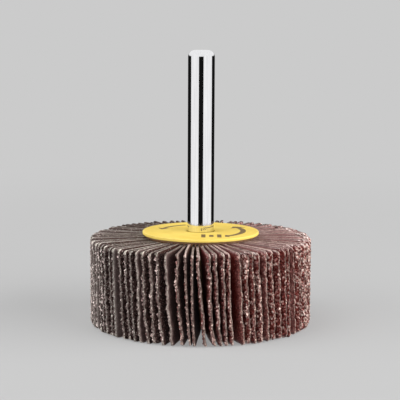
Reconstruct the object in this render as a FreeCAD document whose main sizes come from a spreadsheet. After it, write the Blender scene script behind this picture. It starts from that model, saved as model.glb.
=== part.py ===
"""Mounted flap wheel: abrasive cloth flaps cast into a resin hub on a steel spindle.

The wheel stands on the lower edges of its flaps, with the shank straight up.
Origin: the centre of the lower face. +Z: along the axis, towards the end of the shank.
Lengths are in millimetres and angles in degrees.
"""
import FreeCAD, Part
import os

import Sketcher
from FreeCAD import Placement, Rotation, Vector

# Driving dimensions

SIZES = {
    # Flap pack
    "wheel_radius": 25.0,
    "flap_width": 19.7,
    "flap_count": 92,
    "flap_thickness": 0.55,
    # resin between two neighbouring flaps at their inner ends
    "root_gap": 0.13,
    # how far every flap leans about its own radial line, upper edge clockwise from above
    "flap_lean": 3.7,
    # the worn outer corners of every flap
    "corner_wear": 0.6,
    # angle from +X to the first flap, which is the one nearest the middle of the front
    "first_flap_angle": -90.2,
    # Resin hub
    "bond_depth": 2.4,
    "root_reach_past_hub": 0.5,
    "resin_over_flaps": 0.45,
    "underside_recess": 0.9,
    # Label disc
    "label_radius": 13.1,
    "label_thickness": 0.65,
    "label_hole_clearance": 0.15,
    # Spindle
    "spindle_radius": 3.0,
    "shank_length": 38.9,
    "shank_tip_round": 1.6,
    "foot_below_resin": 0.3,
    "foot_chamfer": 0.4,
    # the end that the resin grips, turned down from the shank, and its two grooves
    "anchor_radius": 2.8,
    "anchor_groove_depth": 0.4,
    "anchor_groove_width": 5.0,
    # from each face of the resin to the nearer groove
    "anchor_groove_inset": 0.8,
}

# How far a flap's free edge has drifted sideways, low end and high end.
# Each is a share of the gap between two free edges; plus is anticlockwise from above.
# No two flaps that follow each other in a run below close their gap.
FLAP_FORMS = {
    "a": (-0.42, -0.36),
    "b": (-0.22, -0.16),
    "c": (0.04, 0.04),
    "d": (0.22, 0.14),
    "e": (0.50, 0.44),
    "f": (-0.26, 0.30),
    "g": (0.42, -0.06),
}

# The flaps anticlockwise from above, by form: the run across the front of the wheel,
# with its wider and narrower gaps, and the run that fills the rest of the circle.
FRONT_RUN = "addbbbbbceefgedcadcbbbb"
OTHER_RUN = "cdbcebdcafbdcgbdcbdecbc"

# Two places this close together are the same
SAME_PLACE = 1e-6

# Helpers

doc = FreeCAD.newDocument("flap_wheel")
sheet = doc.addObject("Spreadsheet::Sheet", "Sizes")


def fill_sheet():
    """One row per driving dimension: its name, its value and its alias."""
    shares = {}
    for letter, (low, high) in FLAP_FORMS.items():
        shares[f"form_{letter}_low"] = low
        shares[f"form_{letter}_high"] = high
    for row, (name, value) in enumerate({**SIZES, **shares}.items(), start=1):
        sheet.set(f"A{row}", name)
        sheet.set(f"B{row}", str(value))
        sheet.setAlias(f"B{row}", name)
    doc.recompute()


def size(name):
    return float(sheet.get(name))


# Expressions for the sizes that follow from the driving ones

ROOT_RADIUS = "(Sizes.flap_count * (Sizes.flap_thickness + Sizes.root_gap) / (2 * pi))"
HUB_RADIUS = f"({ROOT_RADIUS} + Sizes.bond_depth)"
FREE_START = f"({HUB_RADIUS} + Sizes.root_reach_past_hub)"
HALF_WIDTH = "(Sizes.flap_width / 2)"
HALF_THICKNESS = "(Sizes.flap_thickness / 2)"
TIP_GAP = "(2 * pi * Sizes.wheel_radius / Sizes.flap_count - Sizes.flap_thickness)"
# The middle of a leaning flap stands this high when its lowest edge is at zero
MID_HEIGHT = (
    f"({HALF_WIDTH} * cos(Sizes.flap_lean * 1deg)"
    f" + {HALF_THICKNESS} * sin(Sizes.flap_lean * 1deg))"
)
HUB_TOP = f"(2 * {MID_HEIGHT} + Sizes.resin_over_flaps)"
HUB_BOTTOM = "(Sizes.underside_recess)"
LABEL_TOP = f"({HUB_TOP} + Sizes.label_thickness)"
FOOT_END = f"({HUB_BOTTOM} - Sizes.foot_below_resin)"
LOW_GROOVE_START = f"({HUB_BOTTOM} + Sizes.anchor_groove_inset)"
HIGH_GROOVE_END = f"({HUB_TOP} - Sizes.anchor_groove_inset)"
SHANK_TIP = f"({LABEL_TOP} + Sizes.shank_length + Sizes.shank_tip_round)"


def new_body(label):
    body = doc.addObject("PartDesign::Body", label)
    body.Label = label
    return body


def turn_about_axis(item, degrees):
    """Turns a body or a copy about +Z by an expression."""
    item.Placement = Placement(Vector(0, 0, 0), Rotation(Vector(0, 0, 1), 1))
    item.setExpression("Placement.Rotation.Angle", f"({degrees}) * 1deg")


def origin_feature(body, role):
    return next(o for o in body.Origin.OriginFeatures if o.Role == role)


def new_sketch(body, name, plane, offset=None, turn_axis=Vector(0, 0, 1), turn=None):
    """A sketch on an origin plane, moved by three expressions and turned by one."""
    sketch = body.newObject("Sketcher::SketchObject", name)
    sketch.AttachmentSupport = [(origin_feature(body, plane), "")]
    sketch.MapMode = "FlatFace"
    sketch.AttachmentOffset = Placement(Vector(0, 0, 0), Rotation(turn_axis, 1))
    for axis, expression in zip("xyz", offset or ("0", "0", "0")):
        sketch.setExpression(f"AttachmentOffset.Base.{axis}", expression)
    sketch.setExpression("AttachmentOffset.Rotation.Angle", turn or "0")
    return sketch


def closed_outline(sketch, corners):
    """A closed outline of straight lines; each corner is a pair of expressions."""
    spots = [
        Vector(*(float(sketch.evalExpression(part)) for part in corner), 0)
        for corner in corners
    ]
    for here, there in zip(spots, spots[1:] + spots[:1]):
        sketch.addGeometry(Part.LineSegment(here, there), False)
    count = len(spots)
    for index, corner in enumerate(corners):
        sketch.addConstraint(
            Sketcher.Constraint("Coincident", (index - 1) % count, 2, index, 1)
        )
        for kind, expression, place in zip(
            ("DistanceX", "DistanceY"), corner, (spots[index].x, spots[index].y)
        ):
            number = sketch.addConstraint(
                Sketcher.Constraint(kind, -1, 1, index, 1, place)
            )
            sketch.setExpression(f"Constraints[{number}]", expression)


def circle(sketch, radius):
    """A circle about the sketch's origin."""
    start = float(sketch.evalExpression(radius))
    index = sketch.addGeometry(
        Part.Circle(Vector(0, 0, 0), Vector(0, 0, 1), start), False
    )
    sketch.addConstraint(Sketcher.Constraint("Coincident", index, 3, -1, 1))
    number = sketch.addConstraint(Sketcher.Constraint("Radius", index, start))
    sketch.setExpression(f"Constraints[{number}]", radius)


def edge_names(feature, wanted):
    """The names of the feature's edges that the test picks out."""
    return [
        f"Edge{number}"
        for number, edge in enumerate(feature.Shape.Edges, start=1)
        if wanted(edge)
    ]


def edges_at_height(feature, height):
    """The names of the edges that lie wholly at one height."""
    return edge_names(
        feature,
        lambda edge: abs(edge.BoundBox.ZMin - height) < SAME_PLACE
        and abs(edge.BoundBox.ZMax - height) < SAME_PLACE,
    )


fill_sheet()

# Spindle: a bright steel rod, turned down below the label, with two grooves for the resin


def spindle_outline(body, name):
    """Half of the spindle's section, from the axis outwards, before its ends are eased."""
    sketch = new_sketch(body, name, "XZ_Plane")
    neck = "(Sizes.anchor_radius - Sizes.anchor_groove_depth)"
    grooves = (
        (LOW_GROOVE_START, f"({LOW_GROOVE_START} + Sizes.anchor_groove_width)"),
        (f"({HIGH_GROOVE_END} - Sizes.anchor_groove_width)", HIGH_GROOVE_END),
    )
    corners = [("0", FOOT_END), ("Sizes.anchor_radius", FOOT_END)]
    for start, end in grooves:
        corners += [
            ("Sizes.anchor_radius", start),
            (neck, f"{start} + Sizes.anchor_groove_depth / 2"),
            (neck, f"{end} - Sizes.anchor_groove_depth / 2"),
            ("Sizes.anchor_radius", end),
        ]
    corners += [
        ("Sizes.anchor_radius", LABEL_TOP),
        ("Sizes.spindle_radius", LABEL_TOP),
        ("Sizes.spindle_radius", SHANK_TIP),
        ("0", SHANK_TIP),
    ]
    closed_outline(sketch, corners)
    return sketch


def make_spindle():
    body = new_body("spindle")
    turned = body.newObject("PartDesign::Revolution", "spindle_turned")
    turned.Profile = spindle_outline(body, "spindle_section")
    turned.ReferenceAxis = (origin_feature(body, "Z_Axis"), [""])
    turned.Angle = 360
    doc.recompute()
    foot = body.newObject("PartDesign::Chamfer", "foot_chamfer")
    foot.Base = (turned, edges_at_height(turned, turned.Shape.BoundBox.ZMin))
    foot.setExpression("Size", "Sizes.foot_chamfer")
    doc.recompute()
    tip = body.newObject("PartDesign::Fillet", "shank_tip_round")
    tip.Base = (foot, edges_at_height(foot, foot.Shape.BoundBox.ZMax))
    tip.setExpression("Radius", "Sizes.shank_tip_round")
    body.Tip = tip
    return body


# Flaps: one die-cut sheet, repeated with its free edge drifted a little in seven ways


def root_outline(body, name):
    """The inner end of a flap, in the plane of the leaning sheet."""
    sketch = new_sketch(
        body,
        name,
        "XZ_Plane",
        offset=("0", MID_HEIGHT, "0"),
        turn_axis=Vector(1, 0, 0),
        turn="Sizes.flap_lean * 1deg",
    )
    closed_outline(
        sketch,
        [
            (ROOT_RADIUS, f"-{HALF_WIDTH}"),
            (FREE_START, f"-{HALF_WIDTH}"),
            (FREE_START, HALF_WIDTH),
            (ROOT_RADIUS, HALF_WIDTH),
        ],
    )
    return sketch


def flap_section(body, name, reach, low_drift, high_drift):
    """The flap's section across its length, at one distance from the axis."""
    sketch = new_sketch(
        body,
        name,
        "YZ_Plane",
        offset=("0", MID_HEIGHT, reach),
        turn="Sizes.flap_lean * 1deg",
    )
    corners = [
        (f"{low_drift} - {HALF_THICKNESS}", f"-{HALF_WIDTH}"),
        (f"{low_drift} + {HALF_THICKNESS}", f"-{HALF_WIDTH}"),
        (f"{high_drift} + {HALF_THICKNESS}", HALF_WIDTH),
        (f"{high_drift} - {HALF_THICKNESS}", HALF_WIDTH),
    ]
    closed_outline(sketch, corners)
    return sketch


def make_flap_form(letter):
    """One flap at angle zero: a flat root, and a free part that reaches its drifted edge."""
    body = new_body(f"flap_form_{letter}")
    root = body.newObject("PartDesign::Pad", f"root_{letter}")
    root.Profile = root_outline(body, f"root_outline_{letter}")
    root.SideType = "Symmetric"
    root.setExpression("Length", "Sizes.flap_thickness")
    free = body.newObject("PartDesign::AdditiveLoft", f"free_part_{letter}")
    free.Profile = flap_section(body, f"section_at_root_{letter}", FREE_START, "0", "0")
    edge = flap_section(
        body,
        f"section_at_edge_{letter}",
        "Sizes.wheel_radius",
        f"Sizes.form_{letter}_low * {TIP_GAP}",
        f"Sizes.form_{letter}_high * {TIP_GAP}",
    )
    free.Sections = [edge]
    free.Ruled = True
    doc.recompute()
    worn = body.newObject("PartDesign::Chamfer", f"worn_corners_{letter}")
    worn.Base = (free, edge_names(free, is_tip_corner))
    worn.setExpression("Size", "Sizes.corner_wear")
    body.Tip = worn
    return body


def is_tip_corner(edge):
    """True for the two short edges where the free edge meets the flap's ends."""
    at_tip = all(abs(v.X - size("wheel_radius")) < SAME_PLACE for v in edge.Vertexes)
    return at_tip and edge.Length < size("flap_width") / 2


def form_of(position):
    """The form of the flap that lies so many places anticlockwise of the first one."""
    order = FRONT_RUN + OTHER_RUN * 3
    first_flap = FRONT_RUN.index("g")
    return order[(first_flap + position) % len(order)]


def make_flap(position, forms):
    """One flap in its slot, a turned copy of its form."""
    flap = doc.addObject("App::Link", f"flap_{position:03d}")
    flap.LinkedObject = forms[form_of(position)]
    turn_about_axis(
        flap, f"Sizes.first_flap_angle + 360 * {position} / Sizes.flap_count"
    )
    return flap


def make_flap_pairs(forms):
    """Neighbouring flaps two by two; an odd last flap stands by itself."""
    count = round(size("flap_count"))
    flaps = [make_flap(position, forms) for position in range(count)]
    pairs = []
    for number, first in enumerate(range(0, count, 2), start=1):
        pair = doc.addObject("Part::Compound", f"flap_pair_{number:02d}")
        pair.Label = f"flap_pair_{number:02d}"
        pair.Links = flaps[first:first + 2]
        pairs.append(pair)
    return pairs


# Resin hub: cast round the spindle and the inner ends of the flaps


def make_hub():
    body = new_body("resin_hub")
    cast = body.newObject("PartDesign::Revolution", "hub_cast")
    section = new_sketch(body, "hub_section", "XZ_Plane")
    closed_outline(
        section,
        [
            ("0", HUB_BOTTOM),
            (HUB_RADIUS, HUB_BOTTOM),
            (HUB_RADIUS, HUB_TOP),
            ("0", HUB_TOP),
        ],
    )
    cast.Profile = section
    cast.ReferenceAxis = (origin_feature(body, "Z_Axis"), [""])
    cast.Angle = 360
    doc.recompute()
    bore = body.newObject("PartDesign::Groove", "spindle_bore")
    bore.Profile = spindle_outline(body, "bore_section")
    bore.ReferenceAxis = (origin_feature(body, "Z_Axis"), [""])
    bore.Angle = 360
    doc.recompute()
    slot = body.newObject("PartDesign::Pocket", "flap_slot")
    slot.Profile = root_outline(body, "slot_outline")
    slot.SideType = "Symmetric"
    slot.setExpression("Length", "Sizes.flap_thickness")
    doc.recompute()
    slots = body.newObject("PartDesign::PolarPattern", "flap_slots")
    slots.Originals = [slot]
    slots.Axis = (origin_feature(body, "Z_Axis"), [""])
    slots.Angle = 360
    slots.setExpression("Occurrences", "Sizes.flap_count")
    body.Tip = slots
    turn_about_axis(body, "Sizes.first_flap_angle")
    return body


# Label disc: printed card that covers the resin round the shank


def make_label():
    body = new_body("label_disc")
    outline = new_sketch(body, "label_outline", "XY_Plane", offset=("0", "0", HUB_TOP))
    circle(outline, "Sizes.label_radius")
    circle(outline, "Sizes.spindle_radius + Sizes.label_hole_clearance")
    card = body.newObject("PartDesign::Pad", "label_card")
    card.Profile = outline
    card.setExpression("Length", "Sizes.label_thickness")
    body.Tip = card
    return body


def check(parts):
    """Stops with a plain message where a feature failed or a piece is not sound."""
    for item in doc.Objects:
        if "Invalid" in item.State or "Error" in item.State:
            raise RuntimeError(f"{item.Label} failed: {item.State}")
    for item in parts:
        if item.Shape.isNull() or not item.Shape.isValid():
            raise RuntimeError(f"{item.Label} has no sound shape")
        if not item.Shape.Solids:
            raise RuntimeError(f"{item.Label} holds no solid")


parts = [make_spindle(), make_hub(), make_label()]
parts += make_flap_pairs({letter: make_flap_form(letter) for letter in FLAP_FORMS})
doc.recompute()
check(parts)

os.makedirs("parts", exist_ok=True)
for item in parts:
    item.Shape.exportStep(f"parts/{item.Label}.step")
    print(item.Label, len(item.Shape.Solids), round(item.Shape.Volume, 3))
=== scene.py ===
import math

import bpy
import numpy as np
from mathutils import Matrix, Vector


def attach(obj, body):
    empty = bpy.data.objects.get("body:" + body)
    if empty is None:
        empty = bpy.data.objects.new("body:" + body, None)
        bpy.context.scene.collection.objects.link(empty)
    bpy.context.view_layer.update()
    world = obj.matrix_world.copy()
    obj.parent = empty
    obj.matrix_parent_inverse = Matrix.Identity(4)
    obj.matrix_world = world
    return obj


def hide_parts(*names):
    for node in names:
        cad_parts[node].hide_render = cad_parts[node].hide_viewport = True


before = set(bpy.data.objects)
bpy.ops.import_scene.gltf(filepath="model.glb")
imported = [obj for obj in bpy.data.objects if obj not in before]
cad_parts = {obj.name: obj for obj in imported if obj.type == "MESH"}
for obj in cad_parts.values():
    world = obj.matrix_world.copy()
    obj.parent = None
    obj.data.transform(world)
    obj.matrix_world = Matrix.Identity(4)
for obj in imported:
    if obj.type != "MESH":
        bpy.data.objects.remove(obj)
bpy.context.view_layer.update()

# Sizes in millimetres, as in the solids. Scene units are metres.

MM = 0.001

WHEEL_RADIUS = 25.0
FLAP_WIDTH = 19.7
FLAP_COUNT = 92
FLAP_THICKNESS = 0.55
ROOT_GAP = 0.13
FLAP_LEAN = math.radians(3.7)
FIRST_FLAP_ANGLE = math.radians(-90.2)
BOND_DEPTH = 2.4
ROOT_REACH_PAST_HUB = 0.5
RESIN_OVER_FLAPS = 0.45
UNDERSIDE_RECESS = 0.9
LABEL_RADIUS = 13.1
LABEL_THICKNESS = 0.65
LABEL_HOLE_CLEARANCE = 0.15
LABEL_EASE = 0.16
SPINDLE_RADIUS = 3.0
SHANK_LENGTH = 38.9
SHANK_TIP_ROUND = 1.6
FOOT_BELOW_RESIN = 0.3
FOOT_CHAMFER = 0.4
ANCHOR_RADIUS = 2.8
ANCHOR_GROOVE_DEPTH = 0.4
ANCHOR_GROOVE_WIDTH = 5.0
ANCHOR_GROOVE_INSET = 0.8

FLAP_FORMS = {
    "a": (-0.42, -0.36),
    "b": (-0.22, -0.16),
    "c": (0.04, 0.04),
    "d": (0.22, 0.14),
    "e": (0.50, 0.44),
    "f": (-0.26, 0.30),
    "g": (0.42, -0.06),
}
FRONT_RUN = "addbbbbbceefgedcadcbbbb"
OTHER_RUN = "cdbcebdcafbdcgbdcbdecbc"

ROOT_RADIUS = FLAP_COUNT * (FLAP_THICKNESS + ROOT_GAP) / (2 * math.pi)
HUB_RADIUS = ROOT_RADIUS + BOND_DEPTH
FREE_START = HUB_RADIUS + ROOT_REACH_PAST_HUB
TIP_GAP = 2 * math.pi * WHEEL_RADIUS / FLAP_COUNT - FLAP_THICKNESS
MID_HEIGHT = (
    FLAP_WIDTH / 2 * math.cos(FLAP_LEAN) + FLAP_THICKNESS / 2 * math.sin(FLAP_LEAN)
)
HUB_TOP = 2 * MID_HEIGHT + RESIN_OVER_FLAPS
HUB_BOTTOM = UNDERSIDE_RECESS
LABEL_TOP = HUB_TOP + LABEL_THICKNESS
FOOT_END = HUB_BOTTOM - FOOT_BELOW_RESIN
SHANK_TIP = LABEL_TOP + SHANK_LENGTH + SHANK_TIP_ROUND


# Camera


def make_camera():
    """The photograph's view: slightly from above, with a small roll."""
    pitch = math.radians(7.374)
    roll = math.radians(0.284)
    distance = 267.36
    target = Vector((-0.175, 0, 27.745))
    forward = Vector((0, math.cos(pitch), -math.sin(pitch)))
    level_up = Vector((0, math.sin(pitch), math.cos(pitch)))
    across = Vector((1, 0, 0))
    right = math.cos(roll) * across + math.sin(roll) * level_up
    up = -math.sin(roll) * across + math.cos(roll) * level_up
    data = bpy.data.cameras.new("camera")
    data.sensor_width = 36
    data.lens = 106.859
    camera = bpy.data.objects.new("camera", data)
    bpy.context.scene.collection.objects.link(camera)
    turn = Matrix((right, up, -forward)).transposed().to_4x4()
    camera.matrix_world = Matrix.Translation((target - forward * distance) * MM) @ turn
    bpy.context.scene.camera = camera


# Node helpers


def new_material(name):
    """A material with an empty tree; returns the material and its tree."""
    material = bpy.data.materials.new(name)
    material.use_nodes = True
    tree = material.node_tree
    tree.nodes.clear()
    return material, tree


def node(tree, kind, inputs=None, **settings):
    """Adds a node, gives its settings, and fills or links its inputs."""
    made = tree.nodes.new(kind)
    for name, value in settings.items():
        setattr(made, name, value)
    for name, value in (inputs or {}).items():
        if isinstance(value, bpy.types.NodeSocket):
            tree.links.new(value, made.inputs[name])
        else:
            made.inputs[name].default_value = value
    return made


def math_node(tree, operation, *values):
    made = tree.nodes.new("ShaderNodeMath")
    made.operation = operation
    for index, value in enumerate(values):
        if isinstance(value, bpy.types.NodeSocket):
            tree.links.new(value, made.inputs[index])
        else:
            made.inputs[index].default_value = value
    return made.outputs[0]


def product(tree, *values):
    result = values[0]
    for value in values[1:]:
        result = math_node(tree, "MULTIPLY", result, value)
    return result


def scaled_sum(tree, value, factor, more):
    """The value times the factor, and more."""
    return math_node(tree, "MULTIPLY_ADD", value, factor, more)


def larger(tree, first, second):
    return math_node(tree, "MAXIMUM", first, second)


def size_of(tree, value):
    return math_node(tree, "ABSOLUTE", value)


def attribute(tree, name, what="Fac"):
    return node(tree, "ShaderNodeAttribute", attribute_name=name).outputs[what]


def span(tree, value, low, high, to_low=0.0, to_high=1.0, smooth=False):
    """The value mapped from one span to another, held at its ends."""
    made = node(
        tree,
        "ShaderNodeMapRange",
        {
            "Value": value,
            "From Min": low,
            "From Max": high,
            "To Min": to_low,
            "To Max": to_high,
        },
        clamp=True,
    )
    if smooth:
        made.interpolation_type = "SMOOTHSTEP"
    return made.outputs["Result"]


def mix_colours(tree, share, first, second, blend="MIX"):
    made = tree.nodes.new("ShaderNodeMix")
    made.data_type = "RGBA"
    made.blend_type = blend
    made.clamp_factor = True
    for index, value in ((0, share), (6, first), (7, second)):
        if isinstance(value, bpy.types.NodeSocket):
            tree.links.new(value, made.inputs[index])
        elif index == 0:
            made.inputs[index].default_value = value
        else:
            made.inputs[index].default_value = (*value, 1.0)
    return made.outputs[2]


def ramp(tree, value, stops):
    """A colour ramp; each stop is a place and a colour."""
    made = node(tree, "ShaderNodeValToRGB", {"Fac": value})
    band = made.color_ramp
    while len(band.elements) < len(stops):
        band.elements.new(1.0)
    for element, (place, colour) in zip(band.elements, stops):
        element.position = place
        element.color = (*colour, 1.0)
    return made.outputs["Color"]


def place_in_mm(tree):
    """Position on the part, in millimetres."""
    coordinates = tree.nodes.new("ShaderNodeTexCoord").outputs["Object"]
    scaled = node(tree, "ShaderNodeVectorMath", {0: coordinates}, operation="SCALE")
    scaled.inputs["Scale"].default_value = 1 / MM
    return scaled.outputs["Vector"]


def stretched(tree, vector, x, y, z):
    return node(
        tree, "ShaderNodeVectorMath", {0: vector, 1: (x, y, z)}, operation="MULTIPLY"
    ).outputs["Vector"]


def noise(tree, vector, scale, detail=2.0, roughness=0.5):
    return node(
        tree,
        "ShaderNodeTexNoise",
        {"Vector": vector, "Scale": scale, "Detail": detail, "Roughness": roughness},
    ).outputs["Fac"]


def cells(tree, vector, scale, what="Distance", **settings):
    return node(
        tree, "ShaderNodeTexVoronoi", {"Vector": vector, "Scale": scale}, **settings
    ).outputs[what]


def bump(tree, height, strength, distance):
    inputs = {"Height": height, "Strength": strength, "Distance": distance * MM}
    return node(tree, "ShaderNodeBump", inputs).outputs["Normal"]


def finish_material(tree, inputs):
    shader = node(tree, "ShaderNodeBsdfPrincipled", inputs)
    output = tree.nodes.new("ShaderNodeOutputMaterial")
    tree.links.new(shader.outputs["BSDF"], output.inputs["Surface"])


# Materials


def make_steel():
    """Bright drawn steel: a mirror with faint lines along the rod."""
    material, tree = new_material("shank_steel")
    place = place_in_mm(tree)
    streaks = noise(tree, stretched(tree, place, 1, 1, 0.012), 9.0, detail=3.0)
    turning = noise(tree, stretched(tree, place, 0.15, 0.15, 1), 14.0, detail=2.0)
    smudges = noise(tree, place, 0.5, detail=3.0)
    lines = scaled_sum(tree, streaks, 0.8, product(tree, turning, 0.2))
    finish_material(
        tree,
        {
            "Base Color": ramp(
                tree, lines, [(0.38, (0.76, 0.76, 0.78)), (0.62, (0.93, 0.93, 0.94))]
            ),
            "Metallic": 1.0,
            "Roughness": span(tree, smudges, 0.3, 0.7, 0.035, 0.075),
            "Normal": bump(tree, streaks, 0.02, 0.02),
        },
    )
    return material


def make_resin():
    """Cast resin: dark amber brown, with small pits darkened by painted shade, and a dull skin.
    """
    material, tree = new_material("hub_resin")
    place = place_in_mm(tree)
    cloud = noise(tree, place, 0.35, detail=4.0)
    pits = cells(tree, place, 0.9)
    pit_depth = span(tree, pits, 0.03, 0.16, 0.0, 1.0, smooth=True)
    skin = noise(tree, place, 3.0, detail=3.0)
    pit_shade = (0.045, 0.022, 0.012)
    resin = ramp(tree, cloud, [(0.3, (0.16, 0.082, 0.04)), (0.7, (0.25, 0.135, 0.07))])
    finish_material(
        tree,
        {
            # Painted shade in the pits.
            "Base Color": mix_colours(tree, span(tree, pits, 0.03, 0.2), pit_shade, resin),
            "Roughness": span(tree, cloud, 0.3, 0.7, 0.42, 0.6),
            "Normal": bump(tree, scaled_sum(tree, skin, 0.35, pit_depth), 0.5, 0.12),
        },
    )
    return material


PAPER = [(0.3, (0.86, 0.61, 0.095)), (0.7, (0.93, 0.69, 0.14))]
PAPER_RIM_HIGHLIGHT = (0.95, 0.77, 0.26)
PAPER_SIDE = (0.80, 0.58, 0.10)
INK = (0.12, 0.070, 0.02)
WORN_INK = (0.50, 0.34, 0.08)


def make_label_card():
    """Printed card: warm yellow, generic marks in brown, and a painted highlight that makes the
    rim slightly lighter.
    """
    material, tree = new_material("label_card")
    place = place_in_mm(tree)
    x, y, _ = node(tree, "ShaderNodeSeparateXYZ", {0: place}).outputs
    squares = math_node(tree, "ADD", product(tree, x, x), product(tree, y, y))
    radius = math_node(tree, "SQRT", squares)
    angle = math_node(tree, "ARCTAN2", y, x)

    def off(value, middle):
        return size_of(tree, math_node(tree, "SUBTRACT", value, middle))

    def band(value, middle, width, soft):
        """One inside a band, with soft borders."""
        away = off(value, middle)
        return span(tree, away, width / 2 - soft, width / 2 + soft, 1.0, 0.0)

    def between(low, high):
        """One between two angles in degrees."""
        middle = math.radians((low + high) / 2)
        half = math.radians((high - low) / 2)
        return math_node(tree, "LESS_THAN", off(angle, middle), half)

    def arrow(low, high, middle, width, head):
        """A turning arrow: an arc that ends in a tapering head."""
        shaft = product(tree, band(radius, middle, width, 0.05), between(low, high))
        along = span(tree, angle, math.radians(high), math.radians(high + head), 1.0, 0.0)
        reach = product(tree, along, width * 1.6)
        inside = math_node(tree, "LESS_THAN", off(radius, middle), reach)
        tip = product(tree, inside, between(high, high + head))
        return larger(tree, shaft, tip)

    def bar(middle_x, middle_y, width, length):
        """A short straight mark that points to the front."""
        return product(tree, band(x, middle_x, width, 0.06), band(y, middle_y, length, 0.1))

    marks = arrow(-52, 26, 9.6, 1.25, 14)
    marks = larger(tree, marks, arrow(112, 158, 9.0, 0.9, 12))
    for step in range(4):
        length = 4.2 - 1.6 * (step % 2)
        marks = larger(tree, marks, bar(0.6 + 1.75 * step, -7.6, 0.95, length))
    fibres = noise(tree, place, 5.0, detail=4.0)
    fade = noise(tree, place, 0.35, detail=3.0)
    paper = ramp(tree, fade, PAPER)
    # Painted highlight: the rim slightly lighter.
    rim = span(tree, radius, LABEL_RADIUS - 0.55, LABEL_RADIUS - 0.05, 0.0, 0.4)
    paper = mix_colours(tree, rim, paper, PAPER_RIM_HIGHLIGHT)
    ink = mix_colours(tree, span(tree, fibres, 0.45, 0.75, 0.0, 0.12), INK, WORN_INK)
    top = mix_colours(tree, product(tree, marks, 0.97), paper, ink)
    side = span(tree, radius, LABEL_RADIUS - 0.03, LABEL_RADIUS - 0.005, 0.0, 0.6)
    finish_material(
        tree,
        {
            "Base Color": mix_colours(tree, side, top, PAPER_SIDE),
            "Roughness": span(tree, fibres, 0.3, 0.7, 0.62, 0.74),
            "Normal": bump(tree, fibres, 0.12, 0.03),
        },
    )
    return material


# The flaps' materials. A flap's points carry "lay", their place along, across and through
# the sheet in millimetres, "grit", the tone of the grain there, and the flap's own "shade",
# its painted shade, "dust", "rub" and "own", each from 0 to 1.


def sheet_place(tree):
    """Along the flap, across it and through it, in millimetres."""
    lay = attribute(tree, "lay", "Vector")
    return node(tree, "ShaderNodeSeparateXYZ", {0: lay}).outputs


def inside_edge(tree, along, far, near, low=0.0, high=1.0, smooth=False):
    """From low to high between two distances inside the free edge, in millimetres."""
    return span(tree, along, WHEEL_RADIUS - far, WHEEL_RADIUS - near, low, high, smooth)


def inside_end(tree, across, far, near, low=0.0, high=1.0):
    """From low to high between two distances inside the flap's ends, in millimetres."""
    half = FLAP_WIDTH / 2
    return span(tree, size_of(tree, across), half - far, half - near, low, high)


def undusted(tree):
    """What the flap's share of grey dust leaves of one."""
    return math_node(tree, "SUBTRACT", 1.0, attribute(tree, "dust"))


def greyed(tree, share, colour):
    """The colour with dust in it: much less red, a little paler."""
    dull = node(
        tree, "ShaderNodeHueSaturation", {"Saturation": 0.5, "Value": 1.12, "Color": colour}
    )
    return mix_colours(tree, share, colour, dull.outputs["Color"])


def weave_height(tree, along, across):
    """Plain weave: two sets of round yarns that pass over each other."""
    turns = 2 * math.pi / YARN_PITCH
    one = math_node(tree, "SINE", product(tree, along, turns))
    other = math_node(tree, "SINE", product(tree, across, turns))
    return span(tree, product(tree, one, other), -1.0, 1.0)


YARN_PITCH = 0.52
CLOTH = [
    (0.32, (0.050, 0.034, 0.031)),
    (0.55, (0.094, 0.069, 0.064)),
    (0.75, (0.152, 0.118, 0.109)),
]
CLOTH_GAP_SHADE = (0.034, 0.011, 0.007)
CLOTH_DEEP_SHADE = (0.034, 0.009, 0.005)
CLOTH_LIT = (0.28, 0.20, 0.19)
CLOTH_RUBBED = (0.42, 0.365, 0.335)
CLOTH_SPECK = (0.45, 0.37, 0.34)
CLOTH_SHADE_PATCH = (0.010, 0.004, 0.003)
CLOTH_CRUMB = (0.52, 0.45, 0.41)
CLOTH_REDDER = (1.0, 0.74, 0.70)


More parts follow.
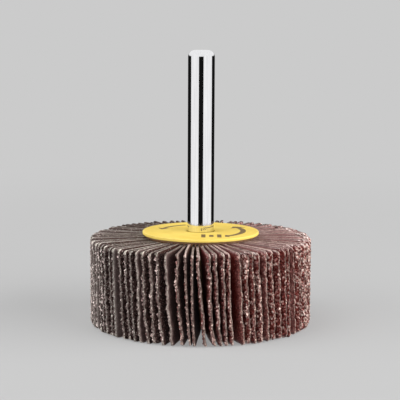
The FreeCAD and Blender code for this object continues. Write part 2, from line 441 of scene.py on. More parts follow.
def make_backing():
    """The cloth side: grey brown filled cloth, faint weave, rubbed lighter near the edges, with
    painted light on the weave and painted shade deep in the gaps and on flaps in narrow gaps.
    """
    material, tree = new_material("cloth_backing")
    place = place_in_mm(tree)
    along, across, _ = sheet_place(tree)
    dark = attribute(tree, "shade")
    weave = weave_height(tree, along, across)
    cloud = noise(tree, place, 0.55, detail=4.0, roughness=0.6)
    fine = noise(tree, place, 4.0, detail=3.0)
    colour = ramp(tree, cloud, CLOTH)
    # Painted shade on flaps with a narrow gap beside them and on the rear flaps.
    colour = mix_colours(tree, span(tree, dark, 0.1, 0.9, 0.0, 0.9), colour, CLOTH_GAP_SHADE)
    # Painted shade deeper inside the gap, away from the free edge.
    colour = mix_colours(tree, inside_edge(tree, along, 5.5, 0.9, 0.8, 0.0), colour, CLOTH_DEEP_SHADE)
    # Painted light on the weave and cloth, fading deeper in the gap as painted shade.
    lit = scaled_sum(tree, weave, 0.14, product(tree, fine, 0.16))
    lit = product(tree, lit, inside_edge(tree, along, 4.5, 0.9, 0.1, 1.0))
    colour = mix_colours(tree, lit, colour, CLOTH_LIT)

    rubbed = product(tree, inside_edge(tree, along, 1.0, 0.2, smooth=True), 0.75)
    rubbed = larger(tree, rubbed, inside_end(tree, across, 0.30, 0.05, 0.0, 0.5))
    rubbed = product(tree, rubbed, span(tree, fine, 0.35, 0.65, 0.3, 1.0))
    # Less rubbing shows on flaps in painted shade.
    rubbed = product(tree, rubbed, span(tree, dark, 0.2, 0.9, 1.0, 0.12))
    colour = mix_colours(tree, rubbed, colour, CLOTH_RUBBED)
    specks = math_node(tree, "GREATER_THAN", noise(tree, place, 3.2, detail=1.0), 0.69)
    colour = mix_colours(tree, product(tree, specks, 0.6), colour, CLOTH_SPECK)

    # Deep in the gaps of flaps in painted shade: near-black patches of painted shade, and pale
    # crumbs of grit.
    shaded_depth = inside_edge(tree, along, 6.0, 1.5)
    shaded_depth = product(tree, shaded_depth, span(tree, dark, 0.30, 0.70))
    shade_patches = span(tree, noise(tree, place, 1.7, detail=1.0), 0.42, 0.54, 0.9, 0.0)
    crumbs = product(tree, shaded_depth, span(tree, cells(tree, place, 1.5), 0.16, 0.28, 0.75, 0.0))
    colour = mix_colours(tree, product(tree, shaded_depth, shade_patches), colour, CLOTH_SHADE_PATCH)
    colour = mix_colours(tree, crumbs, colour, CLOTH_CRUMB)
    colour = mix_colours(tree, undusted(tree), colour, CLOTH_REDDER, blend="MULTIPLY")
    height = scaled_sum(tree, crumbs, 1.5, scaled_sum(tree, fine, 0.6, weave))
    finish_material(
        tree,
        {
            "Base Color": colour,
            "Roughness": span(tree, fine, 0.3, 0.7, 0.72, 0.9),
            "Normal": bump(tree, height, 0.45, 0.05),
            "Specular IOR Level": 0.2,
            "Sheen Weight": 0.03,
            "Sheen Roughness": 0.5,
        },
    )
    return material


def grain_colour(tree, place, tone, stops, seam):
    """Darker and paler grains, each crystal a little different, and how they differ."""
    crystal = cells(tree, place, 3.2, what="Color")
    shade = node(tree, "ShaderNodeSeparateColor", {0: crystal}).outputs[0]
    edge = cells(tree, place, 3.2, what="Distance", feature="DISTANCE_TO_EDGE")
    tone = math_node(tree, "ADD", tone, span(tree, shade, 0.0, 1.0, -0.14, 0.14))
    in_seam = span(tree, edge, 0.0, 0.05, 0.55, 0.0)
    return mix_colours(tree, in_seam, ramp(tree, tone, stops), seam), shade, edge


GRAINS = [
    (0.0, (0.100, 0.009, 0.006)),
    (0.22, (0.185, 0.026, 0.020)),
    (0.42, (0.330, 0.065, 0.052)),
    (0.62, (0.540, 0.240, 0.210)),
    (0.82, (0.720, 0.370, 0.320)),
    (1.0, (0.930, 0.680, 0.600)),
]
GRAIN_SEAM = (0.07, 0.012, 0.010)
GRAIN_DEEP_SHADE = (0.230, 0.015, 0.010)
GRAIN_SMEARED = (0.34, 0.135, 0.120)


def make_grain():
    """The coated side: red brown resin with angular grains, paler at their worn tips, with
    painted shade deeper in the gap.
    """
    material, tree = new_material("abrasive_grain")
    place = place_in_mm(tree)
    along, across, through = sheet_place(tree)
    worn = inside_edge(tree, along, 2.2, 0.2, 0.0, 0.24)
    near_end = inside_end(tree, across, 0.7, 0.1, 0.0, 0.34)
    tone = math_node(tree, "ADD", attribute(tree, "grit"), larger(tree, worn, near_end))
    colour, shade, edge = grain_colour(tree, place, tone, GRAINS, GRAIN_SEAM)
    # Painted shade deeper inside the gap, away from the free edge.
    colour = mix_colours(tree, inside_edge(tree, along, 5.5, 1.0, 0.8, 0.0), colour, GRAIN_DEEP_SHADE)
    smear = span(tree, noise(tree, place, 2.2, detail=3.0), 0.3, 0.7, 0.85, 0.45)
    smooth = product(tree, attribute(tree, "rub"), smear, inside_edge(tree, along, 2.6, 1.0))
    colour = mix_colours(tree, smooth, colour, GRAIN_SMEARED)
    proud = span(tree, through, -0.24, -0.38)
    grey = product(tree, proud, inside_edge(tree, along, 1.3, 0.5), 0.35)
    grey = larger(tree, grey, product(tree, near_end, 2.4))
    grey = larger(tree, grey, product(tree, attribute(tree, "dust"), 0.9))
    height = scaled_sum(tree, shade, 0.6, span(tree, edge, 0.0, 0.12))
    finish_material(
        tree,
        {
            "Base Color": greyed(tree, grey, colour),
            "Roughness": span(tree, shade, 0.0, 1.0, 0.66, 0.36),
            "Normal": bump(tree, height, 0.6, 0.10),
        },
    )
    return material


CUT_CLOTH = [
    (0.3, (0.13, 0.113, 0.100)),
    (0.5, (0.35, 0.322, 0.290)),
    (0.7, (0.76, 0.700, 0.640)),
]
CUT_BROKEN = (0.085, 0.064, 0.055)
CUT_SHADED = (0.10, 0.076, 0.066)
CUT_BEAD = (0.88, 0.83, 0.74)
CUT_CORNER = (0.88, 0.82, 0.74)
CUT_REDDER = (0.93, 0.70, 0.66)
CUT_COAT = [
    (0.0, (0.030, 0.010, 0.008)),
    (0.30, (0.110, 0.045, 0.040)),
    (0.52, (0.270, 0.140, 0.127)),
    (0.74, (0.570, 0.335, 0.295)),
    (1.0, (0.930, 0.680, 0.600)),
]
CUT_SEAM = (0.03, 0.014, 0.012)
END_PALE = (0.84, 0.84, 0.68)
END_DARK = (0.070, 0.066, 0.050)
END_REDDER = (0.10, 0.055, 0.045)
END_COAT = (0.46, 0.45, 0.36)
END_REAR_SHADE = (0.060, 0.055, 0.044)
SPOT_PALE = ((0.86, 0.80, 0.70), (0.72, 0.50, 0.45))
SPOT_DARK = ((0.050, 0.044, 0.036), (0.075, 0.034, 0.028))


def make_cut_edge():
    """The cut edges: pale cloth ends on one side, red resin and grains on the other, with
    painted shade on flaps in narrow gaps and on the flap ends at the rear.
    """
    material, tree = new_material("cut_edge")
    place = place_in_mm(tree)
    along, across, through = sheet_place(tree)
    dark = attribute(tree, "shade")
    dust = attribute(tree, "dust")
    clean = undusted(tree)
    own = attribute(tree, "own")
    at_end = inside_end(tree, across, 0.9, 0.3)
    fibre = noise(tree, place, 4.0, detail=3.0, roughness=0.65)

    cloth = ramp(tree, fibre, CUT_CLOTH)
    broken = scaled_sum(tree, dark, 0.10, noise(tree, place, 1.25, detail=2.0, roughness=0.6))
    cloth = mix_colours(tree, span(tree, broken, 0.50, 0.60, 0.0, 0.85), cloth, CUT_BROKEN)
    # Painted shade on the edges of flaps with a narrow gap beside them and of the rear flaps.
    cloth = mix_colours(tree, product(tree, dark, 0.5), cloth, CUT_SHADED)
    beads = span(tree, cells(tree, place, 1.25), 0.16, 0.32, 1.0, 0.0)
    cloth = mix_colours(tree, product(tree, beads, dark), cloth, CUT_BEAD)
    patch = noise(tree, place, 0.55, detail=2.0)
    pale = product(
        tree,
        at_end,
        span(tree, patch, 0.42, 0.56, 0.1, 0.8),
        span(tree, dust, 0.0, 0.8, 0.25, 1.0),
    )
    cloth = mix_colours(tree, pale, cloth, END_PALE)
    dull = product(tree, at_end, span(tree, patch, 0.36, 0.47, 0.75, 0.0))
    cloth = mix_colours(tree, dull, cloth, END_DARK)
    corner = product(tree, at_end, inside_edge(tree, along, 1.6, 0.8), 0.8)
    cloth = mix_colours(tree, corner, cloth, CUT_CORNER)
    cloth = mix_colours(tree, clean, cloth, CUT_REDDER, blend="MULTIPLY")
    cloth = mix_colours(tree, product(tree, at_end, clean, 0.28), cloth, END_REDDER)

    coat, shade, _ = grain_colour(tree, place, attribute(tree, "grit"), CUT_COAT, CUT_SEAM)
    end_grey = product(tree, at_end, span(tree, dust, 0.0, 0.8, 0.3, 1.0))
    coat = greyed(tree, larger(tree, product(tree, dust, 0.9), end_grey), coat)
    coat = mix_colours(tree, product(tree, end_grey, 0.35), coat, END_COAT)

    side = scaled_sum(tree, math_node(tree, "SUBTRACT", fibre, 0.5), 0.3, through)
    side = scaled_sum(tree, at_end, -0.12, side)
    colour = mix_colours(tree, span(tree, side, -0.13, -0.04), coat, cloth)
    mottle = noise(tree, place, 0.9, detail=2.0)
    pale_spot = mix_colours(tree, clean, *SPOT_PALE)
    dark_spot = mix_colours(tree, clean, *SPOT_DARK)
    for share, spot in (
        (span(tree, mottle, 0.55, 0.65, 0.0, 0.55), pale_spot),
        (span(tree, mottle, 0.36, 0.46, 0.60, 0.0), dark_spot),
        (span(tree, own, 0.0, 0.45, 0.75, 0.0), dark_spot),
        (span(tree, own, 0.65, 1.0, 0.0, 0.55), pale_spot),
    ):
        colour = mix_colours(tree, product(tree, at_end, share), colour, spot)
    # Painted shade on the flap ends at the rear of the wheel.
    rearward = node(tree, "ShaderNodeSeparateXYZ", {0: place}).outputs[1]
    rear = product(tree, span(tree, rearward, 11.0, 21.0, 0.0, 0.88), at_end)
    finish_material(
        tree,
        {
            "Base Color": mix_colours(tree, rear, colour, END_REAR_SHADE),
            "Roughness": span(tree, fibre, 0.3, 0.7, 0.85, 0.6),
            "Normal": bump(tree, scaled_sum(tree, shade, 0.4, fibre), 0.6, 0.08),
        },
    )
    return material


# Meshes


def link(name, mesh):
    piece = bpy.data.objects.new(name, mesh)
    bpy.context.scene.collection.objects.link(piece)
    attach(piece, "root")
    return piece


ROUND_STEPS = 256


def lathe(name, outline, segments):
    """A closed turned piece. Outline points are radius and height; ends on the axis close."""
    points, faces, rings = [], [], []
    for radius, height in outline:
        if radius < 1e-9:
            rings.append([len(points)])
            points.append((0.0, 0.0, height * MM))
            continue
        rings.append(list(range(len(points), len(points) + segments)))
        for step in range(segments):
            turn = 2 * math.pi * step / segments
            points.append(
                (radius * math.cos(turn) * MM, radius * math.sin(turn) * MM, height * MM)
            )
    closed = outline[0][0] > 1e-9
    pairs = list(zip(rings, rings[1:]))
    if closed:
        pairs.append((rings[-1], rings[0]))
    for low, high in pairs:
        for step in range(segments):
            after = (step + 1) % segments
            if len(low) == 1:
                faces.append((low[0], high[after], high[step]))
            elif len(high) == 1:
                faces.append((low[step], low[after], high[0]))
            else:
                faces.append((low[step], low[after], high[after], high[step]))
    mesh = bpy.data.meshes.new(name)
    mesh.from_pydata(points, [], faces)
    mesh.polygons.foreach_set("use_smooth", [True] * len(faces))
    mesh.update()
    return mesh


def arc(centre, radius, start, end, steps):
    """Points on an arc, as radius and height; angles in degrees from the radial direction."""
    spots = []
    for step in range(steps + 1):
        turn = math.radians(start + (end - start) * step / steps)
        spots.append(
            (centre[0] + radius * math.cos(turn), centre[1] + radius * math.sin(turn))
        )
    return spots


def make_spindle(material):
    low = HUB_BOTTOM + ANCHOR_GROOVE_INSET
    high = HUB_TOP - ANCHOR_GROOVE_INSET
    neck = ANCHOR_RADIUS - ANCHOR_GROOVE_DEPTH
    outline = [(0, FOOT_END), (ANCHOR_RADIUS - FOOT_CHAMFER, FOOT_END)]
    outline += [(ANCHOR_RADIUS, FOOT_END + FOOT_CHAMFER)]
    for start, end in (
        (low, low + ANCHOR_GROOVE_WIDTH),
        (high - ANCHOR_GROOVE_WIDTH, high),
    ):
        slope = ANCHOR_GROOVE_DEPTH / 2
        outline += [(ANCHOR_RADIUS, start), (neck, start + slope)]
        outline += [(neck, end - slope), (ANCHOR_RADIUS, end)]
    outline += [(ANCHOR_RADIUS, LABEL_TOP), (SPINDLE_RADIUS, LABEL_TOP)]
    tip_centre = (SPINDLE_RADIUS - SHANK_TIP_ROUND, SHANK_TIP - SHANK_TIP_ROUND)
    outline += arc(tip_centre, SHANK_TIP_ROUND, 0, 90, 14)
    outline += [(0, SHANK_TIP)]
    mesh = lathe("spindle_turned", outline, ROUND_STEPS)
    mesh.set_sharp_from_angle(angle=math.radians(30))
    mesh.materials.append(material)
    piece = link("spindle_turned", mesh)
    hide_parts("spindle")


def make_label(material):
    hole = SPINDLE_RADIUS + LABEL_HOLE_CLEARANCE
    ease = LABEL_EASE
    outline = [(hole, HUB_TOP)]
    outline += [(LABEL_RADIUS - ease, HUB_TOP)]
    outline += arc((LABEL_RADIUS - ease, HUB_TOP + ease), ease, -60, 0, 4)
    outline += arc((LABEL_RADIUS - ease, LABEL_TOP - ease), ease, 0, 90, 5)
    outline += [(LABEL_RADIUS - 0.6, LABEL_TOP), (hole + 2.2, LABEL_TOP)]
    outline += arc((hole + ease, LABEL_TOP - ease), ease, 90, 180, 4)
    mesh = lathe("label_printed", outline, ROUND_STEPS)
    mesh.set_sharp_from_angle(angle=math.radians(40))
    mesh.materials.append(material)
    piece = link("label_printed", mesh)
    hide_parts("label_disc")


# Flaps

# Mesh rows across the flap, and their points' distances inside the free edge
ROW_PITCH = 0.15
JITTER = 0.36 * ROW_PITCH
FINE_REACH = 2.7
ROOT_PLACES = (WHEEL_RADIUS - FREE_START, WHEEL_RADIUS - ROOT_RADIUS)
INNER_PLACES = (3.1, 3.7, 4.7, 6.3, 8.8, *ROOT_PLACES)
BACKING_PLACES = (0.0, 0.35, 0.9, 1.9, 3.6, 6.3, 9.2, *ROOT_PLACES)

# Form and wear
GRAIN_SPACING = 0.56
GRAIN_MARGIN = 1.2
GRAIN_HEIGHT = 0.50
CLOTH_FACE = -0.02
CORNER_ROUNDS = (0.5, 1.2)
SHORT_BELOW = 0.20
SHORT_ABOVE = 0.45
CHIP_PITCHES = (0.8, 1.3, 2.9)
CHIP_SIZES = (0.07, 0.08, 0.06)
WAVE_PITCHES = (1.7, 3.1, 7.0, 15.0, 31.0)
WAVE_SIZES = (0.04, 0.07, 0.085, 0.10, 0.10)
BEND = 0.05
CURL = 0.04
SWAY_BOW = 0.33
SWAY_LEAN = 0.10

# Flaps at the front as photographed, by position: without bright tips, with speckled cloth
# under painted shade, rubbed smooth, and with the upper free corner drifted sideways
DULL_TIPS = range(6)
SPECKLED = range(89, 92)
RUBBED = {80: 0.8, 84: 1.0, 88: 0.8, 5: 0.6, 9: 0.8, 14: 1.0}
TOP_DRIFT = {85: -0.10, 86: -0.20, 87: -0.35, 88: -0.70}


def flap_turn(position):
    return FIRST_FLAP_ANGLE + 2 * math.pi * position / FLAP_COUNT


def side_light(position):
    """Painted light: above 0 only at the two sides of the wheel, up to 0.2, where the flaps get
    paler grains and less painted shade.
    """
    return max(0.0, abs(math.cos(flap_turn(position))) - 0.8)


def form_of(position):
    order = FRONT_RUN + OTHER_RUN * 3
    return order[(FRONT_RUN.index("g") + position) % len(order)]


def strip(first, second, first_places, second_places, faces):
    """Triangles between two rows of points that run the same way."""
    i = j = 0
    while i < len(first) - 1 or j < len(second) - 1:
        step_first = j == len(second) - 1 or (
            i < len(first) - 1 and first_places[i + 1] <= second_places[j + 1]
        )
        if step_first:
            corners = (first[i], first[i + 1], second[j])
            i += 1
        else:
            corners = (first[i], second[j + 1], second[j])
            j += 1
        if len(set(corners)) == 3:
            faces.append(corners)


def grid_faces(numbers, rng):
    """Two triangles in each cell of a grid of point numbers, split one way or the other."""
    a = numbers[:-1, :-1].ravel()
    b = numbers[1:, :-1].ravel()
    c = numbers[1:, 1:].ravel()
    d = numbers[:-1, 1:].ravel()
    flip = rng.random(len(a)) < 0.5
    one = np.where(flip[:, None], np.stack([a, b, c], 1), np.stack([a, b, d], 1))
    two = np.where(flip[:, None], np.stack([a, c, d], 1), np.stack([b, c, d], 1))
    return np.concatenate([one, two])


def wander(places, rng, pitches, sizes):
    """A smooth random line: sines of several lengths."""
    line = np.zeros_like(places)
    for pitch, amount in zip(pitches, sizes):
        line += amount * np.sin(2 * math.pi * (places / pitch + rng.random()))
    return line


def looseness(position):
    """From 0 to 1: how much room a flap has between its neighbours' free edges."""
    low, high = FLAP_FORMS[form_of(position)]
    room = []
    for side in (-1, 1):
        other_low, other_high = FLAP_FORMS[form_of(position + side)]
        room += [1 + side * (other_low - low), 1 + side * (other_high - high)]
    return float(np.clip((min(room) * TIP_GAP - 0.25) / 0.6, 0.1, 1.0))


def flap_painted_shade(position):
    """From 0, pale, to 1, dark: painted shade, deepest on a flap with a narrow gap beside it
    and on the rear flaps, least at the two sides, with a random part; none on a flap rubbed
    smooth.
    """
    if position in SPECKLED:
        return 0.8
    here = sum(FLAP_FORMS[form_of(position)]) / 2
    after = sum(FLAP_FORMS[form_of(position + 1)]) / 2
    chance = np.random.default_rng(900 + position).random()
    behind = max(0.0, math.sin(flap_turn(position)) - 0.3)
    shade = 1.25 - (1 + after - here) * 0.62 + 0.7 * (chance - 0.5) + behind
    shade = 0.5 + 0.5 * np.clip(1.6 * shade - 0.3, 0, 1) - 2.0 * side_light(position)
    return float(max(0.0, shade) * (1 - flap_rub(position)))


def flap_rub(position):
    """From 0 to 1: how far a flap's faces are rubbed smooth; the front ones as photographed."""
    if position in RUBBED or min(position, FLAP_COUNT - position) < 21:
        return RUBBED.get(position, 0.0)
    return float(0.9 * (np.random.default_rng(2600 + position).random() > 0.85))


def flap_dust(position):
    """From 0 to 1: how much grey dust a flap carries, most of it on one side of the wheel."""
    if position in SPECKLED:
        return 0.3
    chance = np.random.default_rng(1700 + position).random()
    share = 0.32 - 0.9 * math.cos(flap_turn(position)) + 0.3 * (chance - 0.5)
    return float(np.clip(share, 0, 1))


def make_grain_field(rng, sparkle, half):
    """Grains scattered over a flap; gives height and tone at any place near the free edge."""
    spacing = GRAIN_SPACING
    wide = int((FLAP_WIDTH + 2 * GRAIN_MARGIN) / spacing)
    deep = int((FINE_REACH + 2 * GRAIN_MARGIN) / spacing)
    shape = (wide, deep)
    middle_across = (np.arange(wide)[:, None] + rng.uniform(0.12, 0.88, shape)) * spacing
    middle_along = (np.arange(deep)[None, :] + rng.uniform(0.12, 0.88, shape)) * spacing
    radius = spacing * rng.uniform(0.38, 0.74, shape)
    tall = rng.uniform(0.3, 1.0, shape) * (rng.random(shape) < 0.86)
    patch = 0.5 + 0.5 * np.sin(
        2 * math.pi * (np.arange(wide)[:, None] * spacing / rng.uniform(5, 11) + rng.random())
    )
    pale = rng.random(shape) < sparkle * (0.25 + 1.5 * patch)
    tone = np.where(pale, rng.uniform(0.84, 1.10, shape), rng.uniform(0.12, 0.58, shape))

    def at(along, across):
        along = along + GRAIN_MARGIN
        across = across + half + GRAIN_MARGIN
        row = np.clip((across / spacing).astype(int), 1, wide - 2)
        column = np.clip((along / spacing).astype(int), 1, deep - 2)
        best = np.zeros(along.shape)
        best_tone = np.zeros(along.shape)
        for step_row in (-1, 0, 1):
            for step_column in (-1, 0, 1):
                i, j = row + step_row, column + step_column
                off = np.hypot(across - middle_across[i, j], along - middle_along[i, j])
                rise = tall[i, j] * np.clip(1.9 * (1 - off / radius[i, j]), 0, 1)
                nearer = rise > best
                best = np.where(nearer, rise, best)
                best_tone = np.where(nearer, tone[i, j], best_tone)
        return best, np.where(best > 0.08, best_tone * np.clip(best * 2.5, 0.45, 1), 0.1)

    return at


def make_flap_points(position):
    """One flap: its points, triangles, kind of each triangle, grit and lay."""
    rng = np.random.default_rng(4100 + position)
    low, high = FLAP_FORMS[form_of(position)]
    half = FLAP_WIDTH / 2
    rows = 2 * round(FLAP_WIDTH / ROW_PITCH / 2)
    low_end = rng.uniform(0, SHORT_BELOW) - half
    rear = float(np.clip(2 * math.sin(flap_turn(position)) - 0.4, 0, 1))
    high_end = half - SHORT_ABOVE * rng.random() ** 2 * (1 - 0.7 * rear)
    corner = rng.uniform(*CORNER_ROUNDS) * (1 - 0.45 * rear)
    row_places = np.linspace(low_end, high_end, rows + 1)
    back_rows = row_places[::2]
    fine = round(FINE_REACH / ROW_PITCH)
    grain_places = np.array([ROW_PITCH * k for k in range(fine + 1)] + list(INNER_PLACES))
    back_places = np.array(BACKING_PLACES)

    chips = np.minimum(0, wander(row_places, rng, CHIP_PITCHES, CHIP_SIZES) - 0.02)
    sparkle = 0.06 + 0.80 * rng.random() ** 2.0
    # Painted light: more pale grains at the two sides of the wheel.
    sparkle += 4.0 * side_light(position)
    rub = flap_rub(position)
    sparkle *= 1 - 0.8 * rub
    if position in DULL_TIPS:
        sparkle *= 0.5
    grains_at = make_grain_field(rng, sparkle, half)

    def tip_reach(places):
        """How far the free edge reaches at a place across the flap, with its worn corners."""
        over = np.maximum(low_end + corner - places, places - high_end + corner)
        over = np.clip(over, 0, corner)
        rounded = corner - np.sqrt(corner**2 - over**2 * 0.999)
        return WHEEL_RADIUS - 0.01 - rounded + np.interp(places, row_places, chips)

    loose = looseness(position)
    sway = 0.5 + 0.5 * math.cos(3 * 2 * math.pi * position / FLAP_COUNT)
    bend = rng.normal(0, BEND) * loose
    wave = wander(row_places, rng, WAVE_PITCHES, WAVE_SIZES) * loose
    curl = rng.normal(0, CURL) * loose

    def sideways(reach, across):
        """Sideways place of the sheet's middle."""
        share = np.clip((reach - FREE_START) / (WHEEL_RADIUS - FREE_START), 0, 1)
        drift = (low + (high - low) * (across + half) / FLAP_WIDTH) * TIP_GAP
        level = across / half
        extra = np.interp(across, row_places, wave) * share**2
        extra = extra + sway * (SWAY_BOW * level**2 + SWAY_LEAN * level) * share**2
        extra = extra + TOP_DRIFT.get(position, 0.0) * (0.5 + 0.5 * level) ** 2 * share**2
        return share * drift + extra + curl * share**3 * 1.5 + bend * np.sin(math.pi * share)

    blocks, grits, lays = [], [], []
    count = 0

    def add(reach, across, through, grit):
        """Adds points given in the sheet's own directions; returns their numbers."""
        nonlocal count
        reach, across, through, grit = np.broadcast_arrays(reach, across, through, grit)
        shape = reach.shape
        reach, across, through, grit = (
            np.asarray(item, float).ravel() for item in (reach, across, through, grit)
        )
        off = through + sideways(reach, across)
        y = off * math.cos(FLAP_LEAN) - across * math.sin(FLAP_LEAN)
        z = off * math.sin(FLAP_LEAN) + across * math.cos(FLAP_LEAN) + MID_HEIGHT
        blocks.append(np.stack([reach, y, z], 1))
        grits.append(grit)
        evened = (across - low_end) / (high_end - low_end) * FLAP_WIDTH - half
        lays.append(np.stack([reach, evened, through], 1))
        numbers = np.arange(count, count + reach.size).reshape(shape)
        count += reach.size
        return numbers

    # Coated side, from the free edge inwards
    reach_at_row = tip_reach(row_places)
    inner = WHEEL_RADIUS - FINE_REACH
    share = grain_places / FINE_REACH
    reach = np.where(
        grain_places[None, :] <= FINE_REACH,
        reach_at_row[:, None] + (inner - reach_at_row[:, None]) * share[None, :],
        WHEEL_RADIUS - grain_places[None, :],
    )
    across = np.repeat(row_places[:, None], len(grain_places), 1)
    fine_part = np.repeat((grain_places < FINE_REACH)[None, :], len(row_places), 0)
    moved = fine_part.copy()
    moved[:, 0] = False
    reach = reach + np.where(moved, rng.uniform(-JITTER, JITTER, reach.shape), 0)
    sliding = fine_part.copy()
    sliding[0, :] = sliding[-1, :] = False
    across = across + np.where(sliding, rng.uniform(-JITTER, JITTER, reach.shape), 0)
    rise, tone = grains_at(reach_at_row[:, None] - reach, across)
    # Painted light: paler grains at the two sides of the wheel.
    tone = tone + 0.8 * side_light(position)
    if position in DULL_TIPS:
        tone = tone - 0.10
    rise = np.where(fine_part, rise + rng.uniform(0, 0.15, rise.shape), 0.45)
    grit = np.where(fine_part, tone, 0.34)
    reach[:, 0] += (rise[:, 0] - 1.0) * 0.22
    through = CLOTH_FACE - GRAIN_HEIGHT * (0.62 + 0.38 * loose) * (1 - 0.5 * rub) * rise
    through[:, -1] = -FLAP_THICKNESS / 2
    through[:, -2] = -FLAP_THICKNESS / 2 + 0.02
    grain = add(reach, across, through, grit)

    # Free edge, from the coated side to the cloth side
    mids = []
    inward = (row_places > low_end + 0.01) & (row_places < high_end - 0.01)
    for place, grainy in ((-0.10, 1.0), (0.08, 0.5)):
        slid = row_places + np.where(inward, rng.uniform(-JITTER, JITTER, len(row_places)), 0)
        rise_here, tone_here = grains_at(np.full(len(row_places), -0.20 + place), slid)
        out = -0.20 + 0.20 * rise_here * grainy + rng.uniform(-0.05, 0.04, len(row_places))
        mids.append(
            add(
                reach_at_row + out,
                slid,
                place - 0.10 * rise_here * grainy,
                tone_here,
            )
        )

    # Cloth side
    back_reach_at_row = tip_reach(back_rows) - 0.12 - rng.uniform(0, 0.14, len(back_rows))
    back_reach = np.where(
        back_places[None, :] == 0,
        back_reach_at_row[:, None],
        np.minimum(
            WHEEL_RADIUS - back_places[None, :],
            back_reach_at_row[:, None] - 0.2 * (1 + back_places[None, :]),
        ),
    )
    back_reach[:, -2:] = np.array([FREE_START, ROOT_RADIUS])
    back_across = np.repeat(back_rows[:, None], len(back_places), 1)
    back_through = FLAP_THICKNESS / 2 - 0.012 * rng.random(back_reach.shape)
    back_through[:, 0] -= 0.05
    back_through[:, -2:] = FLAP_THICKNESS / 2
    back = add(back_reach, back_across, back_through, 0.35)

    kinds, faces = [], []

    def keep(triangles, kind):
        triangles = np.asarray(triangles, np.int64).reshape(-1, 3)
        faces.append(triangles)
        kinds.append(np.full(len(triangles), kind, np.int32))

    keep(grid_faces(grain[:, 1:], rng), 1)
    keep(grid_faces(grain[:, :2], rng), 2)
    keep(grid_faces(back[:, ::-1], rng), 0)
    keep(grid_faces(np.stack([mids[0], grain[:, 0]], 1), rng), 2)
    keep(grid_faces(np.stack([mids[1], mids[0]], 1), rng), 2)
    edge = []
    strip(list(back[:, 0]), list(mids[1]), back_rows, row_places, edge)
    keep(edge, 2)
    root = []
    strip(list(grain[:, -1]), list(back[:, -1]), row_places, back_rows, root)
    keep(root, 2)
    for row, turned in ((0, True), (-1, False)):
        end = []
        grain_line = list(grain[row, ::-1])
        back_line = list(back[row, ::-1])
        grain_at = -grain_places[::-1]
        back_at = -back_places[::-1]
        middle_reach = np.asarray(reach[row, ::-1])[1:-1]
        worn = rng.uniform(0, 0.09, len(middle_reach))
        middle = add(
            middle_reach,
            row_places[row] - np.sign(row_places[row]) * worn,
            rng.uniform(-0.10, 0.0, len(middle_reach)),
            rng.uniform(0.1, 0.85, len(middle_reach)),
        )
        middle_line = [grain_line[0], *middle, mids[0][row]]
        strip(grain_line, middle_line, grain_at, grain_at, end)
        strip(middle_line, back_line + [mids[1][row]], grain_at, [*back_at, 0.01], end)
        end = np.array(end)
        keep(end[:, ::-1] if turned else end, 2)

    return (
        np.concatenate(blocks),
        np.concatenate(faces),
        np.concatenate(kinds),
        np.concatenate(grits),
        np.concatenate(lays),
    )


def make_flap_pair(number, materials):
    """Two neighbouring flaps, each in its slot."""
    parts = []
    start = 0
    for position in (2 * (number - 1), 2 * (number - 1) + 1):
        points, faces, kinds, grit, lay = make_flap_points(position)
        turn = flap_turn(position)
        cos, sin = math.cos(turn), math.sin(turn)
        turned = np.stack(
            [
                points[:, 0] * cos - points[:, 1] * sin,
                points[:, 0] * sin + points[:, 1] * cos,
                points[:, 2],
            ],
            1,
        )
        own = np.random.default_rng(3300 + position).random()
        shares = (flap_painted_shade(position), flap_dust(position), flap_rub(position), own)
        shares = [np.full(len(points), share) for share in shares]
        parts.append((turned, faces + start, kinds, lay, grit, *shares))
        start += len(points)
    points, faces, kinds, lay, *shares = (np.concatenate(item) for item in zip(*parts))
    name = f"flaps_{number:02d}"
    mesh = bpy.data.meshes.new(name)
    mesh.vertices.add(len(points))
    mesh.vertices.foreach_set("co", (points * MM).astype(np.float32).ravel())
    mesh.loops.add(faces.size)
    mesh.loops.foreach_set("vertex_index", faces.astype(np.int32).ravel())
    mesh.polygons.add(len(faces))
    mesh.polygons.foreach_set("loop_start", np.arange(0, faces.size, 3, dtype=np.int32))
    mesh.polygons.foreach_set("material_index", kinds)
    mesh.polygons.foreach_set("use_smooth", kinds == 0)
    mesh.update(calc_edges=True)
    for what, share in zip(("grit", "shade", "dust", "rub", "own"), shares):
        made = mesh.attributes.new(what, "FLOAT", "POINT")
        made.data.foreach_set("value", share.astype(np.float32))
    mesh.attributes.new("lay", "FLOAT_VECTOR", "POINT").data.foreach_set(
        "vector", lay.astype(np.float32).ravel()
    )
    for material in materials:
        mesh.materials.append(material)
    piece = link(name, mesh)
    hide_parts(f"flap_pair_{number:02d}")


# Surroundings

BACKGROUND = 0.597
FLOOR_HALF = 12.0
FLOOR_SEEN = 0.535
FLOOR_UNSEEN = 0.32
FADE_START, FADE_END = 0.05, 0.35
SHADOW_SHARE = 0.55


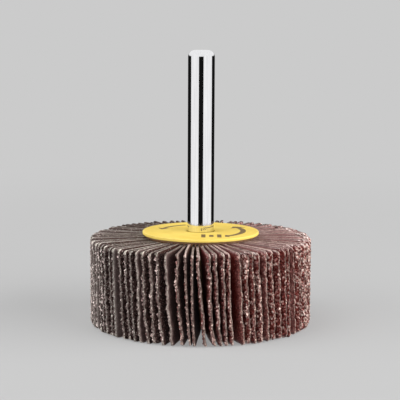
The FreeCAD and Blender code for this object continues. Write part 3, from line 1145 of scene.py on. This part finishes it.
def make_floor():
    """A pale plain floor that fades into the background, with the part's soft shadow."""
    half = FLOOR_HALF
    mesh = bpy.data.meshes.new("floor")
    mesh.from_pydata(
        [(-half, -half, 0), (half, -half, 0), (half, half, 0), (-half, half, 0)],
        [],
        [(0, 1, 2, 3)],
    )
    floor = bpy.data.objects.new("floor", mesh)
    bpy.context.scene.collection.objects.link(floor)
    floor.visible_glossy = False
    material, tree = new_material("floor")
    geometry = node(tree, "ShaderNodeNewGeometry").outputs
    distance = node(
        tree, "ShaderNodeVectorMath", {0: geometry["Position"]}, operation="LENGTH"
    ).outputs["Value"]
    near = span(tree, distance, FADE_START, FADE_END, SHADOW_SHARE, 0.0, smooth=True)
    seen = node(tree, "ShaderNodeLightPath").outputs["Is Camera Ray"]
    share = product(tree, seen, math_node(tree, "SUBTRACT", 1.0, near))
    colour = mix_colours(tree, seen, (FLOOR_UNSEEN,) * 3, (FLOOR_SEEN,) * 3)
    paint = node(tree, "ShaderNodeBsdfDiffuse", {"Color": colour})
    glow = node(tree, "ShaderNodeEmission", {"Color": (*(BACKGROUND,) * 3, 1), "Strength": 1.0})
    both = node(
        tree, "ShaderNodeMixShader", {0: share, 1: paint.outputs[0], 2: glow.outputs[0]}
    )
    clear = tree.nodes.new("ShaderNodeBsdfTransparent")
    sided = node(
        tree,
        "ShaderNodeMixShader",
        {0: geometry["Backfacing"], 1: both.outputs[0], 2: clear.outputs[0]},
    )
    output = tree.nodes.new("ShaderNodeOutputMaterial")
    tree.links.new(sided.outputs[0], output.inputs["Surface"])
    mesh.materials.append(material)


AMBIENT = 0.13
MIRRORED_DARK = 0.007
MIRRORED_BRIGHT = 0.95


def make_world():
    """Pale background, even light, and tall dark and bright panels that the steel reflects."""
    world = bpy.data.worlds.new("studio")
    bpy.context.scene.world = world
    world.use_nodes = True
    tree = world.node_tree
    tree.nodes.clear()
    direction = tree.nodes.new("ShaderNodeTexCoord").outputs["Generated"]
    x, y, z = node(tree, "ShaderNodeSeparateXYZ", {0: direction}).outputs
    turn = math_node(tree, "ARCTAN2", x, product(tree, y, -1.0))
    degrees = product(tree, turn, 180 / math.pi)
    off = size_of(tree, math_node(tree, "ADD", degrees, 1.5))
    sides = product(
        tree,
        span(tree, off, 19.4, 20.6),
        span(tree, off, 101.6, 103.2, 1.0, 0.0),
        span(tree, degrees, -97.7, -96.1),
    )
    behind = span(tree, off, 160.0, 168.0, 0.0, 0.6)
    above = span(tree, z, 0.12, 0.24)
    below = span(tree, z, -0.50, -0.42, 0.6, 0.0)
    bright = larger(tree, larger(tree, larger(tree, sides, behind), above), below)
    mirrored = scaled_sum(tree, bright, MIRRORED_BRIGHT, MIRRORED_DARK)
    rays = tree.nodes.new("ShaderNodeLightPath").outputs

    def choose(ray, if_so, if_not):
        """One value for rays of a kind, another for the rest."""
        rest = math_node(tree, "SUBTRACT", 1.0, rays[ray])
        return math_node(
            tree, "ADD", product(tree, rays[ray], if_so), product(tree, rest, if_not)
        )

    level = choose("Is Glossy Ray", mirrored, AMBIENT)
    level = choose("Is Camera Ray", BACKGROUND, level)
    background = node(tree, "ShaderNodeBackground", {"Color": (1, 1, 1, 1), "Strength": level})
    output = tree.nodes.new("ShaderNodeOutputWorld")
    tree.links.new(background.outputs[0], output.inputs["Surface"])


# Name, place, width, height and power, in metres and watts
LAMPS = (
    ("lamp_left", (-0.67, -0.27, 0.27), 1.15, 0.4, 4.6),
    ("lamp_right", (0.67, -0.27, 0.27), 1.15, 0.4, 10.2),
    ("lamp_front", (-0.09, -0.85, 0.20), 0.5, 0.3, 1.0),
    ("lamp_top", (-0.30, -0.15, 0.80), 0.7, 0.7, 2.8),
    ("lamp_behind", (-0.10, 0.62, 0.06), 1.0, 0.1, 2.6),
)
LAMP_TARGET = (0, 0, 0.015)


def make_lamps():
    """Soft panels all round, which the steel does not reflect."""
    for name, place, width, height, power in LAMPS:
        data = bpy.data.lights.new(name, "AREA")
        data.shape = "RECTANGLE"
        data.size = width
        data.size_y = height
        data.energy = power
        lamp = bpy.data.objects.new(name, data)
        bpy.context.scene.collection.objects.link(lamp)
        lamp.location = place
        away = Vector(place) - Vector(LAMP_TARGET)
        lamp.rotation_mode = "QUATERNION"
        lamp.rotation_quaternion = away.to_track_quat("Z", "Y")
        lamp.visible_glossy = False


make_camera()
make_floor()
make_world()
make_lamps()

make_spindle(make_steel())
make_label(make_label_card())
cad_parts["resin_hub"].data.materials.clear()
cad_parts["resin_hub"].data.materials.append(make_resin())
flap_materials = [make_backing(), make_grain(), make_cut_edge()]
for number in range(1, FLAP_COUNT // 2 + 1):
    make_flap_pair(number, flap_materials)

bpy.context.scene.view_settings.view_transform = "Standard"
